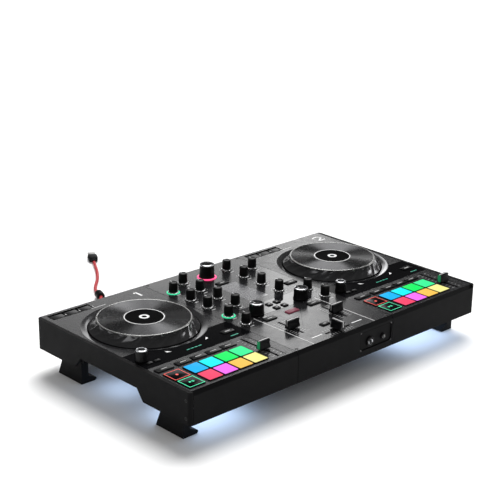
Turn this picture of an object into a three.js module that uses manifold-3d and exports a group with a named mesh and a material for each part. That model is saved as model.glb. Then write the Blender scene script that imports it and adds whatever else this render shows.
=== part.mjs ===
// Two-deck DJ controller with a centre mixer, standing on four folding legs, with its USB lead.
// Millimetres. +X runs along the width to the right, +Y from the front edge to the back, +Z up.
// The origin is on the table under the middle of the body.
import * as THREE from 'three';
import { mergeVertices } from 'three/addons/utils/BufferGeometryUtils.js';
import Module from 'manifold-3d';

const wasm = await Module();
wasm.setup();

// ---- Driving dimensions ---------------------------------------------------------------------
const BODY_WIDTH = 536;
const BODY_DEPTH = 306;
const BODY_TOP = 73;          // height of the control surface above the table
const BODY_BOTTOM = 30.5;     // lower edge of the casing above the table
const CORNER_RADIUS = 5;
const PLATE = 3;              // thickness of the moulded covers
const CHEEK = 5;              // thickness of the side cheeks
const GAP = 0.35;             // clearance between neighbouring pieces
const SEAM = 90;              // distance of the cover seams from the middle
const FRONT_BEVEL = 4.5;
const FLOOR_Z = 36.5;         // underside of the shell's floor, recessed within the skirt
const FLOOR_THICKNESS = 2.5;
const BOARD_Z = 60;
const BOARD_THICKNESS = 1.6;
const DECK_X = 178;           // distance of each deck's jog axis from the middle
const JOG_Y = 41;

const halfWidth = BODY_WIDTH / 2;
const halfDepth = BODY_DEPTH / 2;
const shellHalfWidth = halfWidth - CHEEK - GAP;
const coverUnderside = BODY_TOP - PLATE;
const floorTop = FLOOR_Z + FLOOR_THICKNESS;
const boardTop = BOARD_Z + BOARD_THICKNESS;

// ---- Materials ------------------------------------------------------------------------------
const finish = (color, roughness, metalness = 0) => (
  new THREE.MeshStandardMaterial({ color, roughness, metalness })
);
const casing = finish(0x1b1b1d, 0.6);
const topPlate = finish(0x2c2c2f, 0.35);
const knobRubber = finish(0x111112, 0.7);
const glossBlack = finish(0x08080a, 0.15);
const faderBlack = finish(0x0e0e10, 0.45);
const wheelGrey = finish(0x3c3c40, 0.35, 0.6);
const silver = finish(0xb9babd, 0.3, 0.9);
const footRubber = finish(0x161617, 0.8);
const boardGreen = finish(0x12402c, 0.5);
const padLight = finish(0xbfc6cc, 0.5);
const jackMetal = finish(0x6d6e70, 0.35, 0.9);
const cordRed = finish(0xa8202c, 0.5);
const plugBlack = finish(0x151516, 0.5);

// ---- Solids ---------------------------------------------------------------------------------
// Keeps only positions, merges shared vertices and drops triangles that have no area.
function weld(geometry) {
  geometry.deleteAttribute('normal');
  geometry.deleteAttribute('uv');
  const merged = mergeVertices(geometry, 1e-4);
  const index = [...merged.index.array];
  const kept = [];
  for (let i = 0; i < index.length; i += 3) {
    const [a, b, c] = index.slice(i, i + 3);
    if (a !== b && b !== c && c !== a) kept.push(a, b, c);
  }
  merged.setIndex(kept);
  return merged;
}

function toSolid(geometry) {
  const { index, attributes } = weld(geometry.clone());
  return new wasm.Manifold(new wasm.Mesh({
    numProp: 3,
    vertProperties: new Float32Array(attributes.position.array),
    triVerts: new Uint32Array(index.array),
  }));
}

function toGeometry(solid) {
  const { vertProperties, triVerts } = solid.getMesh();
  const geometry = new THREE.BufferGeometry();
  geometry.setAttribute('position', new THREE.BufferAttribute(new Float32Array(vertProperties), 3));
  geometry.setIndex([...triVerts]);
  return geometry;
}

function join(pieces) {
  return toGeometry(pieces.map(toSolid).reduce((sum, piece) => sum.add(piece)));
}

function cut(base, tools) {
  return toGeometry(tools.map(toSolid).reduce((left, tool) => left.subtract(tool), toSolid(base)));
}

function common(first, second) {
  return toGeometry(toSolid(first).intersect(toSolid(second)));
}

// A box between two corners.
function box(x0, x1, y0, y1, z0, z1) {
  return new THREE.BoxGeometry(x1 - x0, y1 - y0, z1 - z0)
    .translate((x0 + x1) / 2, (y0 + y1) / 2, (z0 + z1) / 2);
}

// A box given by its centre in plan, its size in plan and its two heights.
function block(x, y, width, depth, z0, z1) {
  return box(x - width / 2, x + width / 2, y - depth / 2, y + depth / 2, z0, z1);
}

// An upright cylinder between two heights.
function post(x, y, radius, z0, z1, sides = 12) {
  return new THREE.CylinderGeometry(radius, radius, z1 - z0, sides)
    .rotateX(Math.PI / 2)
    .translate(x, y, (z0 + z1) / 2);
}

// A cylinder along Y between two depths.
function rodAlongY(x, z, radius, y0, y1, sides = 12) {
  return new THREE.CylinderGeometry(radius, radius, y1 - y0, sides)
    .translate(x, (y0 + y1) / 2, z);
}

// A body of revolution about an upright axis, from [radius, height] pairs.
function turned(x, y, profile, segments) {
  return new THREE.LatheGeometry(profile.map(([r, z]) => new THREE.Vector2(r, z)), segments)
    .rotateX(Math.PI / 2)
    .translate(x, y, 0);
}

// An outline in the Y-Z plane, extruded along X from x0 to x1.
function extrudeAlongX(outline, x0, x1) {
  const shape = new THREE.Shape(outline.map(([y, z]) => new THREE.Vector2(y, z)));
  const turn = new THREE.Matrix4().makeBasis(
    new THREE.Vector3(0, 1, 0), new THREE.Vector3(0, 0, 1), new THREE.Vector3(1, 0, 0));
  return new THREE.ExtrudeGeometry(shape, { depth: x1 - x0, bevelEnabled: false })
    .applyMatrix4(turn)
    .translate(x0, 0, 0);
}

// An outline in the X-Z plane, extruded along Y from y0 to y1.
function extrudeAlongY(outline, y0, y1) {
  const shape = new THREE.Shape(outline.map(([x, z]) => new THREE.Vector2(x, z)));
  return new THREE.ExtrudeGeometry(shape, { depth: y1 - y0, bevelEnabled: false })
    .rotateX(Math.PI / 2)
    .translate(0, y1, 0);
}

function roundedRectangle(width, depth, radius) {
  const [x, y] = [width / 2, depth / 2];
  const shape = new THREE.Shape();
  shape.moveTo(-x + radius, -y);
  shape.lineTo(x - radius, -y);
  shape.absarc(x - radius, -y + radius, radius, -Math.PI / 2, 0);
  shape.absarc(x - radius, y - radius, radius, 0, Math.PI / 2);
  shape.absarc(-x + radius, y - radius, radius, Math.PI / 2, Math.PI);
  shape.absarc(-x + radius, -y + radius, radius, Math.PI, Math.PI * 1.5);
  return shape;
}

const controller = new THREE.Group();

function add(name, geometry, material) {
  const mesh = new THREE.Mesh(weld(geometry), material);
  mesh.name = name;
  controller.add(mesh);
}

const sides = [['left', -1], ['right', 1]];

// ---- Side cheeks with the hand-grip notch ---------------------------------------------------
const GRIP = { front: -66.5, back: 71.5, slope: 12, height: 15, depth: 26 };
const gripRoof = BODY_BOTTOM + GRIP.height;

const cheekOutline = [
  [-halfDepth, BODY_BOTTOM],
  [GRIP.front, BODY_BOTTOM],
  [GRIP.front + GRIP.slope, gripRoof],
  [GRIP.back - GRIP.slope, gripRoof],
  [GRIP.back, BODY_BOTTOM],
  [halfDepth, BODY_BOTTOM],
  [halfDepth, BODY_TOP],
  [-halfDepth, BODY_TOP],
];
const bodyBlank = new THREE.ExtrudeGeometry(
  roundedRectangle(BODY_WIDTH, BODY_DEPTH, CORNER_RADIUS),
  { depth: BODY_TOP - BODY_BOTTOM, bevelEnabled: false, curveSegments: 4 },
).translate(0, 0, BODY_BOTTOM);

for (const [side, s] of sides) {
  const [inner, outer] = [s * (halfWidth - CHEEK), s * halfWidth];
  const plate = extrudeAlongX(cheekOutline, Math.min(inner, outer), Math.max(inner, outer));
  add(`side_cheek_${side}`, common(plate, bodyBlank), casing);
}

// ---- Folding legs ---------------------------------------------------------------------------
const LEG = {
  axisX: 250,           // hinge axis, along Y
  axisZ: 36,
  shank: 5.5,           // half thickness around the hinge
  middleY: 100.5,
  soleHalfLength: 25.5,
  shankBack: 16.5,      // the shank's rear edge; the front edge is nearly upright
  flareTop: 10,
  soleInset: 18,        // how far the sole reaches inwards of the hinge axis
  pinRadius: 1.8,
  pocketReach: 42,      // room for the folded leg, inwards of the hinge axis
  pocketRoof: 56,
  wall: 2,
};
const legNames = [['front', -1], ['back', 1]];
const pocketHalfLength = LEG.soleHalfLength + 1;

function legProfile(s) {
  const top = [];
  for (let i = 0; i <= 6; i += 1) {
    const angle = (Math.PI * i) / 6;
    top.push([LEG.shank * Math.cos(angle), LEG.axisZ + LEG.shank * Math.sin(angle)]);
  }
  const inner = [
    [-LEG.shank, LEG.flareTop],
    [-LEG.soleInset, 4],
    [-LEG.soleInset, 1.5],
    [-LEG.soleInset + 2, 0],
    [LEG.shank, 0],
  ];
  return [...top, ...inner].map(([x, z]) => [s * (LEG.axisX + x), z]);
}

function leg(s, middleY) {
  const outline = [
    [middleY - LEG.soleHalfLength, 0],
    [middleY + LEG.soleHalfLength, 0],
    [middleY + LEG.shankBack, 22],
    [middleY + LEG.shankBack, 42],
    [middleY - LEG.soleHalfLength, 42],
  ];
  const [near, far] = [LEG.axisX - LEG.soleInset - 1, LEG.axisX + LEG.shank + 1];
  const wedge = extrudeAlongX(outline, Math.min(s * near, s * far), Math.max(s * near, s * far));
  const profile = s < 0 ? legProfile(s) : legProfile(s).reverse();
  const section = extrudeAlongY(profile, middleY - 30, middleY + 30);
  const pinEnd = pocketHalfLength + LEG.wall - GAP;
  const pin = rodAlongY(s * LEG.axisX, LEG.axisZ, LEG.pinRadius, middleY - pinEnd, middleY + pinEnd, 8);
  return join([common(section, wedge), pin]);
}

for (const [end, t] of legNames) {
  for (const [side, s] of sides) {
    add(`leg_${end}_${side}`, leg(s, t * LEG.middleY), footRubber);
  }
}

// ---- Bottom: a pan between two side frames that hold the grip pockets and the leg pockets ------
const USB_X = -120;
const PORT_Z = 44;
const REAR_WALL = 3;
const FRAME_INNER = 205;      // where each side frame meets the pan
const REAR_PANEL = { left: -133, right: 81 };
const COVER_SCREW = { x: 84, y: 143.5, boss: 3.5 };
const JOG_BOSS_RADIUS = 9;
const wallTop = coverUnderside - GAP;
const apronBack = -halfDepth + PLATE + GAP;
const rearSockets = [
  { x: -62, radius: 6.2 }, { x: -36, radius: 6.2 },
  { x: -8, radius: 4.4 }, { x: 8, radius: 4.4 },
  { x: 32, radius: 4.4 }, { x: 48, radius: 4.4 },
  { x: 70, radius: 6.2 },
];

// A box given in heights and depths, with its X range on either side of the middle.
function sideBox(s, inner, outer, y0, y1, z0, z1) {
  const [x0, x1] = s < 0 ? [-outer, -inner] : [inner, outer];
  return box(x0, x1, y0, y1, z0, z1);
}

function legPocket(s, middleY, grow, roof) {
  const half = pocketHalfLength + grow;
  return sideBox(s, LEG.axisX - LEG.pocketReach - grow, LEG.axisX + 7 + grow,
    middleY - half, middleY + half, FLOOR_Z - (grow > 0 ? 0 : 1), roof);
}

function gripPocket(s, grow, bottom, roof) {
  return sideBox(s, halfWidth - GRIP.depth - 5 - grow, shellHalfWidth + (grow > 0 ? 0 : 1),
    GRIP.front + GRIP.slope - grow, GRIP.back - GRIP.slope + grow, bottom, roof);
}

function sideFrame(s) {
  const walls = [
    sideBox(s, FRAME_INNER, shellHalfWidth, apronBack, halfDepth, FLOOR_Z, floorTop),
    sideBox(s, FRAME_INNER, shellHalfWidth, halfDepth - REAR_WALL, halfDepth, BODY_BOTTOM, wallTop),
    sideBox(s, shellHalfWidth - 2.5, shellHalfWidth, apronBack, halfDepth, FLOOR_Z, wallTop),
    gripPocket(s, 2, FLOOR_Z, gripRoof + 2),
  ];
  const hollows = [gripPocket(s, 0, BODY_BOTTOM, gripRoof)];
  for (const [, t] of legNames) {
    const middleY = t * LEG.middleY;
    walls.push(legPocket(s, middleY, LEG.wall, LEG.pocketRoof + LEG.wall));
    hollows.push(legPocket(s, middleY, 0, LEG.pocketRoof));
    for (const bearingY of [middleY - pocketHalfLength - 2, middleY + pocketHalfLength + 2]) {
      walls.push(block(s * LEG.axisX, bearingY, 11, 4, LEG.axisZ - 4.5, floorTop));
    }
    hollows.push(rodAlongY(s * LEG.axisX, LEG.axisZ, LEG.pinRadius + 0.45,
      middleY - pocketHalfLength - 5, middleY + pocketHalfLength + 5, 12));
  }
  return cut(join(walls), hollows);
}
for (const [side, s] of sides) {
  add(`side_frame_${side}`, sideFrame(s), casing);
}

const panHalfWidth = FRAME_INNER - GAP;
const bottomPan = join([
  box(-panHalfWidth, panHalfWidth, apronBack, halfDepth, FLOOR_Z, floorTop),
  box(-panHalfWidth, panHalfWidth, halfDepth - REAR_WALL, halfDepth, BODY_BOTTOM, floorTop),
  box(-panHalfWidth, REAR_PANEL.left, halfDepth - REAR_WALL, halfDepth, floorTop - 1, wallTop),
  box(REAR_PANEL.right, panHalfWidth, halfDepth - REAR_WALL, halfDepth, floorTop - 1, wallTop),
  ...sides.map(([, s]) => post(s * DECK_X, JOG_Y, JOG_BOSS_RADIUS, floorTop - 1, 62, 24)),
  ...sides.flatMap(([, s]) => legNames.map(([, t]) => (
    post(s * COVER_SCREW.x, t * COVER_SCREW.y, COVER_SCREW.boss, floorTop - 1, wallTop, 8)
  ))),
]);
add('bottom_pan', bottomPan, casing);

// ---- Deck layout, measured from each deck's jog axis in X and from the body's middle in Y ----
const JOG = { troughRadius: 82, troughDepth: 2.4, holeRadius: 74.2, lowerRadius: 72.4, topRadius: 62, topZ: 84.7 };
const KEY_RISE = 1.4;         // how far keys and pads stand above the cover
const KEY_TRAVEL = 0.8;
const PAD_GRID = { x: -1.9, pitchX: 24.6, y: -117.8, pitchY: 25.8, width: 23.6, depth: 24.8, columns: 4 };
const PLAY_KEYS = [['cue', -104.9], ['play', -130.7]];
const PLAY_KEY = { x: -68.8, width: 25.2, depth: 24.4 };
const MODE_KEYS = { y: -81, width: 22.6, depth: 9.6 };
const SHIFT_KEY = { x: -68.8, y: -81, width: 25.2, depth: 9.6 };
const SMALL_KEYS = [
  { x: -71.5, y: -57, width: 8.6, depth: 4.8 },
  { x: -59.5, y: -57, width: 8.6, depth: 4.8 },
  { x: 65.6, y: -47, width: 19, depth: 9 },
];
const TOP_SLOT = { x: -45, y: 139.7, width: 66, depth: 16.5, keys: 3 };
const LOOP_KNOB = { x: -73.4, y: -44 };
const TEMPO = { x: 62, slotY: -110, slotLength: 68, restY: -117 };
const padColumns = [0, 1, 2, 3].map((i) => PAD_GRID.x + (i - 1.5) * PAD_GRID.pitchX);
const padRows = [PAD_GRID.y + PAD_GRID.pitchY / 2, PAD_GRID.y - PAD_GRID.pitchY / 2];
const padBlockWidth = 3 * PAD_GRID.pitchX + PAD_GRID.width;
const padBlockDepth = PAD_GRID.pitchY + PAD_GRID.depth;
const modeKeyAt = (x) => ({ x, y: MODE_KEYS.y, width: MODE_KEYS.width, depth: MODE_KEYS.depth });
const deckWebKeys = [SHIFT_KEY, ...padColumns.map(modeKeyAt), ...SMALL_KEYS];

// ---- Covers: each is a top plate with a bevelled front edge and a front apron ----------------
const coverOutline = [
  [-halfDepth, BODY_BOTTOM],
  [-halfDepth, BODY_TOP - FRONT_BEVEL],
  [-halfDepth + FRONT_BEVEL, BODY_TOP],
  [halfDepth, BODY_TOP],
  [halfDepth, coverUnderside],
  [-halfDepth + PLATE, coverUnderside],
  [-halfDepth + PLATE, BODY_BOTTOM],
].reverse();

const throughPlate = ({ x, y, width, depth }, deckX = 0, clearance = GAP) => (
  block(deckX + x, y, width + 2 * clearance, depth + 2 * clearance, coverUnderside - 1, BODY_TOP + 1)
);

function deckCover(s) {
  const deckX = s * DECK_X;
  const [x0, x1] = s < 0 ? [-shellHalfWidth, -SEAM - GAP] : [SEAM + GAP, shellHalfWidth];
  const trough = turned(deckX, JOG_Y, [
    [0, BODY_TOP - JOG.troughDepth],
    [JOG.holeRadius, BODY_TOP - JOG.troughDepth],
    [JOG.troughRadius, BODY_TOP],
    [JOG.troughRadius + 1, BODY_TOP + 1],
    [0, BODY_TOP + 1],
  ], 64);
  const well = post(deckX, JOG_Y, JOG.holeRadius, coverUnderside - 1, BODY_TOP, 64);
  const padWell = { x: PAD_GRID.x, y: PAD_GRID.y, width: padBlockWidth, depth: padBlockDepth };
  const playKeys = PLAY_KEYS.map(([, y]) => ({ ...PLAY_KEY, y }));
  const tempoSlot = { x: TEMPO.x, y: TEMPO.slotY, width: 2.6, depth: TEMPO.slotLength };
  const openings = [padWell, tempoSlot, TOP_SLOT, ...playKeys, ...deckWebKeys];
  return cut(extrudeAlongX(coverOutline, x0, x1), [
    trough,
    well,
    ...openings.map((opening) => throughPlate(opening, deckX)),
    post(deckX + LOOP_KNOB.x, LOOP_KNOB.y, 3.6, coverUnderside - 1, BODY_TOP + 1),
  ]);
}
for (const [side, s] of sides) {
  add(`deck_cover_${side}`, deckCover(s), topPlate);
}

// ---- Mixer layout ---------------------------------------------------------------------------
const KNOB_COLUMNS = { outer: 75, inner: 41.7 };
const outerRows = [104.5, 68, 33, -8.5, -42];
const innerRows = [123, 86.5, 50, 14.5];
const LEVEL_KNOB = { x: 42, y: -27.5 };
const BROWSE_KNOB = { x: 0, y: 119 };
const CHANNEL_FADER = { x: 41.5, slotY: -91, slotLength: 46, restY: -94 };
const CROSSFADER = { x: 0, y: -135.5, slotLength: 46 };
const FX_KEYS = [[-7.4, -15.6], [7.4, -15.6], [-7.4, -30.5], [7.4, -30.5]]
  .map(([x, y]) => ({ x, y, width: 8.6, depth: 8.6 }));
const MONITOR_KEYS = [-41.5, 0, 41.5].map((x) => ({ x, y: -52.4, width: 20, depth: 9 }));
const BROWSE_KEY = { x: 0, y: 86.4, width: 20, depth: 9 };
const ROUTING_KEY = { x: 75, y: 25, width: 20, depth: 9 };
const MIDDLE_KEY = { x: 0, y: -112.5, width: 14, depth: 8 };
const mixerKeys = [...FX_KEYS, ...MONITOR_KEYS, BROWSE_KEY, ROUTING_KEY, MIDDLE_KEY];

const rightOuterRows = [outerRows[0], outerRows[3], outerRows[4]];
const smallKnobs = [
  ...outerRows.map((y, i) => [`knob_left_outer_${i + 1}`, -KNOB_COLUMNS.outer, y]),
  ...innerRows.map((y, i) => [`knob_left_inner_${i + 1}`, -KNOB_COLUMNS.inner, y]),
  ...innerRows.map((y, i) => [`knob_right_inner_${i + 1}`, KNOB_COLUMNS.inner, y]),
  ...rightOuterRows.map((y, i) => [`knob_right_outer_${i + 1}`, KNOB_COLUMNS.outer, y]),
];
const largeKnobs = [
  ['level_knob_left', -LEVEL_KNOB.x, LEVEL_KNOB.y],
  ['level_knob_right', LEVEL_KNOB.x, LEVEL_KNOB.y],
];
const mixerShafts = [...smallKnobs, ...largeKnobs, ['browse', BROWSE_KNOB.x, BROWSE_KNOB.y]];
const mixerSlots = [
  { x: -CHANNEL_FADER.x, y: CHANNEL_FADER.slotY, width: 2.6, depth: CHANNEL_FADER.slotLength },
  { x: CHANNEL_FADER.x, y: CHANNEL_FADER.slotY, width: 2.6, depth: CHANNEL_FADER.slotLength },
  { x: CROSSFADER.x, y: CROSSFADER.y, width: CROSSFADER.slotLength, depth: 2.6 },
];
const HEADPHONE_JACKS = [{ x: 45.5, radius: 3.4, collar: 7 }, { x: 71.5, radius: 2.1, collar: 4.5 }];
const JACK_Z = 48.5;
const JACK_WINDOW = { x0: 26, x1: 88, z0: 39, z1: 65, corner: 4 };

// The outline of the window in the front apron, or of the panel that fills it, with cut corners.
function jackWindow(inset) {
  const { x0, x1, z0, z1, corner } = JACK_WINDOW;
  const [left, right, low, high] = [x0 + inset, x1 - inset, z0 + inset, z1 - inset];
  return [
    [left + corner, low], [right - corner, low], [right, low + corner], [right, high - corner],
    [right - corner, high], [left + corner, high], [left, high - corner], [left, low + corner],
  ];
}

const mixerCover = cut(extrudeAlongX(coverOutline, -SEAM + GAP, SEAM - GAP), [
  ...mixerShafts.map(([, x, y]) => post(x, y, 3.6, coverUnderside - 1, BODY_TOP + 1)),
  ...mixerSlots.map((slot) => throughPlate(slot)),
  ...mixerKeys.map((key) => throughPlate(key)),
  extrudeAlongY(jackWindow(0), -halfDepth - 1, -halfDepth + PLATE + 1),
]);
add('mixer_cover', mixerCover, topPlate);

// ---- Circuit board, with the controls soldered on it ------------------------------------------
const POT_TOP = 65;
const SHAFT_BOTTOM = POT_TOP + GAP;

const mainBoard = join([
  box(-85, 85, -138, 136, BOARD_Z, boardTop),
  box(-100, 100, -118, -62, BOARD_Z, boardTop),
  ...mixerShafts.map(([, x, y]) => block(x, y, 10, 10, boardTop - 0.5, POT_TOP)),
  ...mixerSlots.map(({ x, y, width, depth }) => (
    block(x, y, width + (width > depth ? 8 : 6), depth + (width > depth ? 6 : 8), boardTop - 0.5, POT_TOP)
  )),
  ...[-DECK_X, DECK_X].flatMap((deckX) => [
    box(deckX - 82, deckX + 82, -141, -33, BOARD_Z, boardTop),
    block(deckX + LOOP_KNOB.x, LOOP_KNOB.y, 10, 10, boardTop - 0.5, POT_TOP),
    block(deckX + TEMPO.x, TEMPO.slotY, 8, TEMPO.slotLength - 6, boardTop - 0.5, POT_TOP),
    ...padColumns.flatMap((x) => padRows.map((y) => block(deckX + x, y, 6, 6, boardTop - 0.5, 63))),
  ]),
]);
add('main_board', mainBoard, boardGreen);

// ---- Jog wheels -----------------------------------------------------------------------------
const JOG_HUB_BORE = JOG_BOSS_RADIUS + 0.4;
const jogProfile = [
  [0, 64],
  [JOG_HUB_BORE, 64],
  [JOG_HUB_BORE, 48],
  [JOG_HUB_BORE + 4, 48],
  [JOG_HUB_BORE + 4, 80],
  [56, 80],
  [JOG.lowerRadius - 3, 66],
  [JOG.lowerRadius, 66],
  [JOG.lowerRadius, 71.5],
  [JOG.topRadius + 1, JOG.topZ - 1],
  [JOG.topRadius, JOG.topZ],
  [0, JOG.topZ],
];

// ---- Knobs, keys and faders -----------------------------------------------------------------
const SHAFT_RADIUS = 3;
const SKIRT_Z = BODY_TOP + 0.5;

const smallKnobProfile = [
  [0, SHAFT_BOTTOM], [SHAFT_RADIUS, SHAFT_BOTTOM], [SHAFT_RADIUS, SKIRT_Z], [7.6, SKIRT_Z],
  [7.6, SKIRT_Z + 1.5], [6.4, SKIRT_Z + 2.2], [6.1, BODY_TOP + 14.8], [5.2, BODY_TOP + 15.6],
  [0, BODY_TOP + 15.6],
];
const largeKnobProfile = [
  [0, SHAFT_BOTTOM], [SHAFT_RADIUS, SHAFT_BOTTOM], [SHAFT_RADIUS, SKIRT_Z], [10.8, SKIRT_Z],
  [10.8, SKIRT_Z + 1.5], [10.2, SKIRT_Z + 2], [9.8, BODY_TOP + 15.2], [8.6, BODY_TOP + 17],
  [0, BODY_TOP + 17],
];
const browseKnobProfile = [
  [0, SHAFT_BOTTOM], [SHAFT_RADIUS, SHAFT_BOTTOM], [SHAFT_RADIUS, SKIRT_Z], [11.6, SKIRT_Z],
  [11.6, SKIRT_Z + 2.5], [10.8, SKIRT_Z + 3], [10.4, BODY_TOP + 19.2], [9, BODY_TOP + 21],
  [0, BODY_TOP + 21],
];
const loopKnobProfile = [
  [0, SHAFT_BOTTOM], [SHAFT_RADIUS, SHAFT_BOTTOM], [SHAFT_RADIUS, SKIRT_Z], [7.9, SKIRT_Z],
  [7.9, SKIRT_Z + 1.5], [7.5, SKIRT_Z + 2], [7.3, BODY_TOP + 14], [6.4, BODY_TOP + 15.5],
  [0, BODY_TOP + 15.5],
];

for (const [name, x, y] of smallKnobs) {
  add(name, turned(x, y, smallKnobProfile, 12), knobRubber);
}
for (const [name, x, y] of largeKnobs) {
  add(name, turned(x, y, largeKnobProfile, 16), knobRubber);
}
add('browse_knob', turned(BROWSE_KNOB.x, BROWSE_KNOB.y, browseKnobProfile, 16), knobRubber);

const FADER = { length: 20, depth: 9.4, ridge: 5, waist: 4, floatZ: BODY_TOP + 1.5, topZ: BODY_TOP + 13.3 };

// A fader cap with a waisted section, its long side across the slot, and the stem under it.
function faderCap(x, y, length, acrossX) {
  const [base, ridge, waist] = [FADER.depth / 2, FADER.ridge / 2, FADER.waist / 2];
  const { floatZ, topZ } = FADER;
  const half = [
    [base, floatZ], [base, floatZ + 1.5], [waist + 1, floatZ + 5], [waist, floatZ + 8], [ridge, topZ - 0.8],
    [ridge - 0.8, topZ],
  ];
  const section = [...half, ...half.map(([u, z]) => [-u, z]).reverse()];
  const cap = extrudeAlongX(section, -length / 2, length / 2);
  const stem = box(-1.4, 1.4, -0.9, 0.9, SHAFT_BOTTOM, floatZ + 1);
  return join([cap, stem.rotateZ(Math.PI / 2)])
    .rotateZ(acrossX ? 0 : Math.PI / 2)
    .translate(x, y, 0);
}
add('channel_fader_left', faderCap(-CHANNEL_FADER.x, CHANNEL_FADER.restY, FADER.length, true), faderBlack);
add('channel_fader_right', faderCap(CHANNEL_FADER.x, CHANNEL_FADER.restY, FADER.length, true), faderBlack);
add('crossfader', faderCap(CROSSFADER.x, CROSSFADER.y, FADER.length - 1, false), faderBlack);

// Several keys moulded on one web of flexible arms under the cover.
const WEB = { bottom: 66.6, top: 68.6 };
const keyTop = BODY_TOP + KEY_RISE;

function keyCap({ x, y, width, depth }, deckX, top = keyTop) {
  return block(deckX + x, y, width, depth, WEB.bottom, top);
}
const arm = (x0, x1, y0, y1) => box(x0, x1, y0, y1, WEB.bottom, WEB.top);

const mixerWeb = join([
  ...mixerKeys.map((key) => keyCap(key, 0)),
  arm(-42, 61, -53.6, -51.2),
  arm(-1.2, 1.2, -53, 87),
  arm(-8, 8, -16.8, -14.4),
  arm(-8, 8, -31.7, -29.3),
  arm(0, 68, 31, 33.4),
  arm(66, 68, 24, 33.4),
  arm(59, 61, -119.8, -52),
  arm(0, 61, -119.8, -117.6),
  arm(-1.2, 1.2, -119.8, -112),
]);
add('mixer_keys', mixerWeb, glossBlack);

function deckWeb(deckX) {
  const bar = [deckX + SHIFT_KEY.x, deckX + padColumns[3]];
  return join([
    ...deckWebKeys.map((key) => keyCap(key, deckX)),
    arm(bar[0], bar[1], -82, -80),
    arm(deckX - 72.5, deckX - 70.5, -80, -57),
    arm(deckX - 72, deckX - 59, -58, -56),
    arm(deckX + 46, deckX + 48, -80, -68),
    arm(deckX + 46, deckX + 67, -70, -68),
    arm(deckX + 65, deckX + 67, -70, -47),
  ]);
}

function padMat(deckX) {
  const { x, y, width, depth } = PAD_GRID;
  return join([
    block(deckX + x, y, padBlockWidth + 3, padBlockDepth + 1.4, 67.4, 69.4),
    block(deckX + x, y, padBlockWidth - 0.4, padBlockDepth - 0.4, 69, BODY_TOP - 1.5),
    ...padColumns.flatMap((column) => padRows.map((row) => (
      block(deckX + column, row, width, depth, BODY_TOP - 2, keyTop)
    ))),
  ]);
}

function playKey(deckX, y) {
  const { x, width, depth } = PLAY_KEY;
  return join([
    keyCap({ x, y, width, depth }, deckX),
    block(deckX + x + 1.3, y, width + 2.6, depth, WEB.bottom, WEB.top),
  ]);
}

function topKeyStrip(deckX) {
  const { x, y, width, depth, keys } = TOP_SLOT;
  const keyWidth = width / keys - 2.4;
  const columns = [-1, 0, 1].map((i) => x + (i * width) / keys);
  return join([
    block(deckX + x, y, width - 0.6, depth - 0.6, 66.6, 70.4),
    ...columns.map((column) => block(deckX + column, y - 1, keyWidth, depth - 5, 70, BODY_TOP - 0.4)),
  ]);
}

for (const [side, s] of sides) {
  const deckX = s * DECK_X;
  add(`jog_wheel_${side}`, turned(deckX, JOG_Y, jogProfile, 48), wheelGrey);
  add(`loop_knob_${side}`, turned(deckX + LOOP_KNOB.x, LOOP_KNOB.y, loopKnobProfile, 16), silver);
  add(`tempo_fader_${side}`, faderCap(deckX + TEMPO.x, TEMPO.restY, 17, true), faderBlack);
  for (const [name, y] of PLAY_KEYS) {
    add(`${name}_key_${side}`, playKey(deckX, y), glossBlack);
  }
  add(`pad_mat_${side}`, padMat(deckX), padLight);
  add(`deck_keys_${side}`, deckWeb(deckX), glossBlack);
  add(`top_key_strip_${side}`, topKeyStrip(deckX), glossBlack);
}

// ---- Sockets: a panel in the front apron and a panel in the rear wall --------------------------
const PANEL_FACE = -halfDepth + 1.2;
const headphoneJacks = cut(
  join([
    extrudeAlongY(jackWindow(GAP), PANEL_FACE, -halfDepth + PLATE + 1),
    box(34, 80, -halfDepth + PLATE + GAP, -halfDepth + 22, JACK_Z - 8, JACK_Z + 7.5),
    ...HEADPHONE_JACKS.map(({ x, collar }) => (
      rodAlongY(x, JACK_Z, collar, -halfDepth + 0.2, PANEL_FACE + 1, 20)
    )),
  ]),
  HEADPHONE_JACKS.map(({ x, radius }) => rodAlongY(x, JACK_Z, radius, -halfDepth - 1, -halfDepth + 18, 12)),
);
add('headphone_jacks', headphoneJacks, jackMetal);

const rearBlockFront = halfDepth - REAR_WALL - GAP - 14;
const rearSocketPanel = cut(
  join([
    box(REAR_PANEL.left + GAP, REAR_PANEL.right - GAP, halfDepth - REAR_WALL, halfDepth, floorTop + GAP, wallTop),
    box(-132, 80, rearBlockFront, halfDepth - REAR_WALL + 1, floorTop + GAP, 56),
  ]),
  [
    post(-COVER_SCREW.x, COVER_SCREW.y, COVER_SCREW.boss + 0.6, floorTop, 57, 12),
    block(USB_X, halfDepth - 6, 12.4, 18, PORT_Z - 5.6, PORT_Z + 5.6),
    ...rearSockets.flatMap(({ x, radius }) => [
      rodAlongY(x, PORT_Z + 4, radius, halfDepth - REAR_WALL, halfDepth + 1),
      rodAlongY(x, PORT_Z + 4, radius * 0.62, rearBlockFront + 3, halfDepth, 10),
    ]),
  ],
);
add('rear_sockets', rearSocketPanel, plugBlack);

// ---- USB lead -------------------------------------------------------------------------------
const CORD = { diameter: 5, tableZ: 2.6 };
const COIL = { x: -60, y: 233, inner: 17.3, outer: 37.7, height: 10.3 };
const FERRITE = { x: -55, y: 300.5, radius: 6.2, halfLength: 8, heading: 1.19 };
const plugTail = halfDepth + 44;
const ferriteZ = FERRITE.radius + 0.1;

// Square plug in the rear socket, its grip and a tapered strain relief.
const devicePlug = join([
  block(USB_X, halfDepth - 3, 8.4, 10, PORT_Z - 3.9, PORT_Z + 3.9),
  block(USB_X, halfDepth + 11.5, 12.4, 21, PORT_Z - 5.4, PORT_Z + 5.4),
  new THREE.CylinderGeometry(3, 5, plugTail - halfDepth - 20, 12)
    .translate(USB_X, (plugTail + halfDepth + 20) / 2, PORT_Z),
]);
add('usb_device_plug', devicePlug, plugBlack);

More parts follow.
